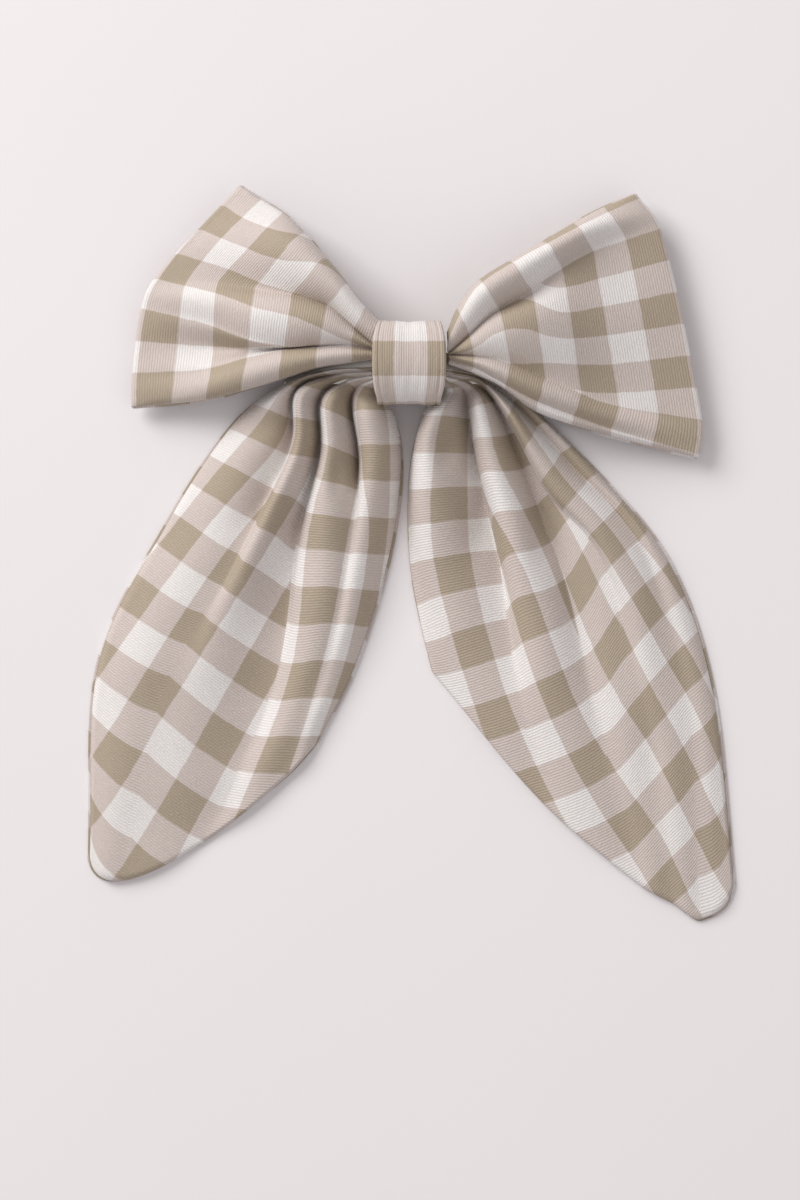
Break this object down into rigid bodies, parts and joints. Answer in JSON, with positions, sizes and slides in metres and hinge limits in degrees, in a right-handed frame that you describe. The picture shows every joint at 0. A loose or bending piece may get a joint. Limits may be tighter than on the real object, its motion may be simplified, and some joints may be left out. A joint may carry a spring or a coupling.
{
  "type": "hair bow",
  "caption": "Gingham cloth hair bow with puffed loops, long pointed tails and a wrapped knot, on a spring barrette whose arm swings open and is held by pinched catch tabs.",
  "frame": {"origin": "centre of the bow's outline, on the surface that the bow lies on", "axes": "+Y from the tails to the loops, +X to the right as the face is seen, +Z out of the bow's face"},
  "size_m": [0.1795, 0.2036, 0.0257],
  "materials": {
    "gingham_cloth": "ribbed gingham in white, pinkish beige and khaki, with a soft sheen on the ribs",
    "sewing_thread": "twisted off-white sewing thread",
    "felt_pad": "pressed cream felt set in clear glue",
    "clip_steel": "nickel-plated stamped steel, lightly drawn along its length",
    "spring_steel": "thin blued-grey spring steel strip"
  },
  "bodies": {
    "bow": {"loop_band": "gingham_cloth", "tail_left_front": "gingham_cloth", "tail_left_back": "gingham_cloth", "tail_right_front": "gingham_cloth", "tail_right_back": "gingham_cloth", "knot_wrap": "gingham_cloth", "loop_binding_thread": "sewing_thread", "tail_binding_thread": "sewing_thread", "wrap_seam_thread": "sewing_thread", "glue_pad": "felt_pad", "barrette_plate": "clip_steel", "hinge_pin": "clip_steel", "tension_bar": "spring_steel", "catch_base": "clip_steel", "catch_rivet": "clip_steel"},
    "clasp": {"clasp_arm": "clip_steel"},
    "tab_front": {"catch_tab_front": "spring_steel"},
    "tab_rear": {"catch_tab_rear": "spring_steel"}
  },
  "joints": [
    {"name": "clasp_hinge", "type": "hinge", "parent": "bow", "child": "clasp", "pos_m": [-0.0332, 0.0518, 0.0015], "axis": [0, 1, 0], "range_deg": [0, 70]},
    {"name": "tab_front_flex", "type": "hinge", "parent": "bow", "child": "tab_front", "pos_m": [0.0307, 0.05005, 0.00365], "axis": [1, 0, 0], "range_deg": [0, 12], "stiffness_Nm_per_rad": 0.00002},
    {"name": "tab_rear_flex", "type": "hinge", "parent": "bow", "child": "tab_rear", "pos_m": [0.0307, 0.05355, 0.00365], "axis": [-1, 0, 0], "range_deg": [0, 12], "stiffness_Nm_per_rad": 0.00002}
  ],
  "couplings": [
    {"joint": "tab_rear_flex", "follows": "tab_front_flex", "ratio": 1}
  ]
}
